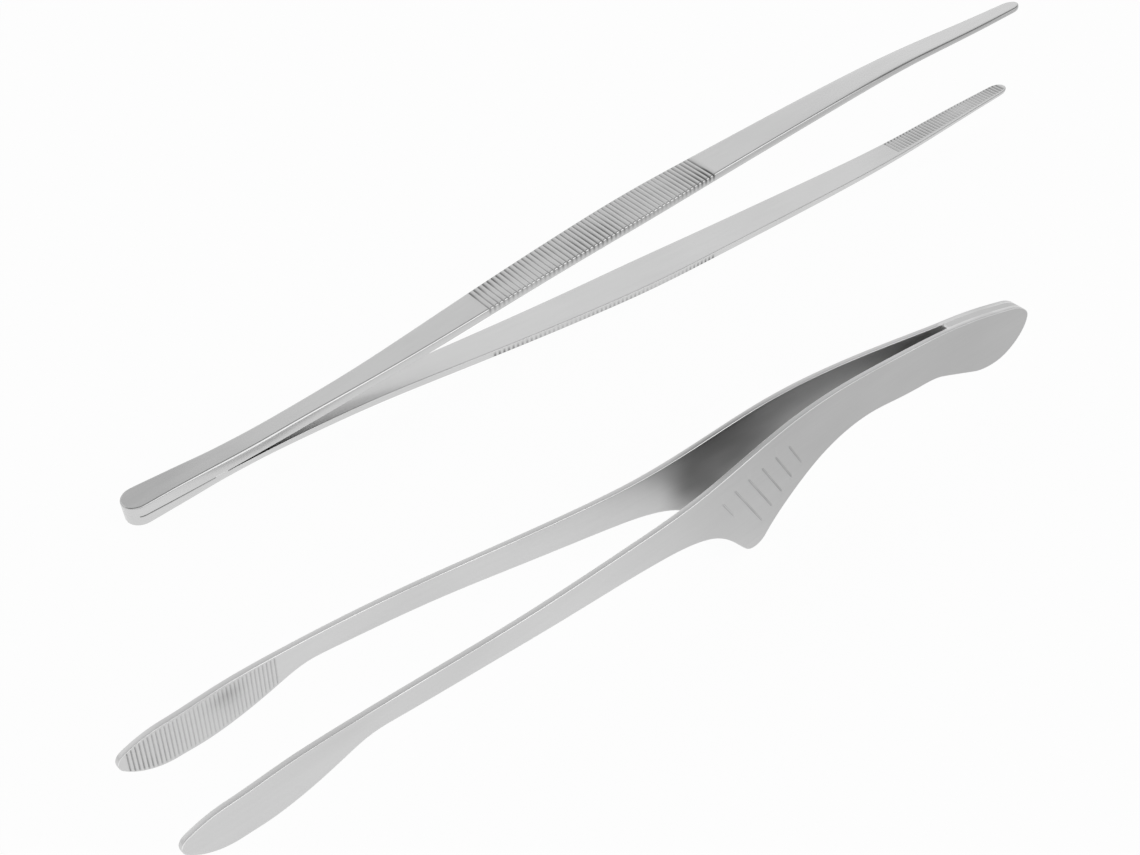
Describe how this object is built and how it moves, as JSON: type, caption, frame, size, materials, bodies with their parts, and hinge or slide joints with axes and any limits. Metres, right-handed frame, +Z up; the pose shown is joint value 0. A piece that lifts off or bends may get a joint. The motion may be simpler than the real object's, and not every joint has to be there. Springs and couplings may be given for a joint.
{
  "type": "print tongs",
  "caption": "Stainless steel print tongs: long straight tweezers with ribbed grips and toothed tips, beside bent leaf tongs with tray hooks and grooved paddles. Squeezing closes the tips.",
  "frame": {"origin": "on the ground under the middle of the set's bounding box", "axes": "+X from the tweezers' butt to their tips, +Y from the leaf tongs towards the tweezers, +Z up"},
  "size_m": [0.3368, 0.1082, 0.0372],
  "materials": {
    "polished_steel": "polished stainless steel with a fine lengthwise grain",
    "weld_steel": "weld metal dressed smooth and polished with the arms",
    "satin_steel": "satin stainless steel sheet, tumbled smooth"
  },
  "bodies": {
    "tweezers_butt": {"tweezers_upper_root": "polished_steel", "tweezers_lower_root": "polished_steel", "tweezers_split_weld": "weld_steel", "tweezers_butt_weld": "weld_steel"},
    "tweezers_upper": {"tweezers_upper_blade": "polished_steel"},
    "tweezers_lower": {"tweezers_lower_blade": "polished_steel"},
    "leaf_butt": {"leaf_left_root": "satin_steel", "leaf_right_root": "satin_steel", "leaf_spacer_block": "satin_steel"},
    "leaf_left": {"leaf_left_blade": "satin_steel"},
    "leaf_right": {"leaf_right_blade": "satin_steel"}
  },
  "joints": [
    {"name": "tweezers_upper_flex", "type": "hinge", "parent": "tweezers_butt", "child": "tweezers_upper", "pos_m": [-0.06424, 0.04831, 0.0107], "axis": [0, 1, 0], "range_deg": [0, 3.2], "stiffness_Nm_per_rad": 10},
    {"name": "tweezers_lower_flex", "type": "hinge", "parent": "tweezers_butt", "child": "tweezers_lower", "pos_m": [-0.06379, 0.04831, 0.00381], "axis": [0, -1, 0], "range_deg": [0, 3.2], "stiffness_Nm_per_rad": 10},
    {"name": "leaf_tongs_lift_off", "type": "slide", "parent": "tweezers_butt", "child": "leaf_butt", "axis": [0, 0, 1], "range_m": [0, 0.06]},
    {"name": "leaf_left_flex", "type": "hinge", "parent": "leaf_butt", "child": "leaf_left", "pos_m": [0.00573, -0.04169, 0.01839], "axis": [-0.0262, -0.0005, -0.9997], "range_deg": [0, 3.2], "stiffness_Nm_per_rad": 4.2},
    {"name": "leaf_right_flex", "type": "hinge", "parent": "leaf_butt", "child": "leaf_right", "pos_m": [0.00561, -0.03608, 0.01839], "axis": [0.0262, 0.0005, 0.9997], "range_deg": [0, 3.2], "stiffness_Nm_per_rad": 4.2}
  ],
  "couplings": [
    {"joint": "tweezers_lower_flex", "follows": "tweezers_upper_flex", "ratio": 1},
    {"joint": "leaf_right_flex", "follows": "leaf_left_flex", "ratio": 1}
  ]
}
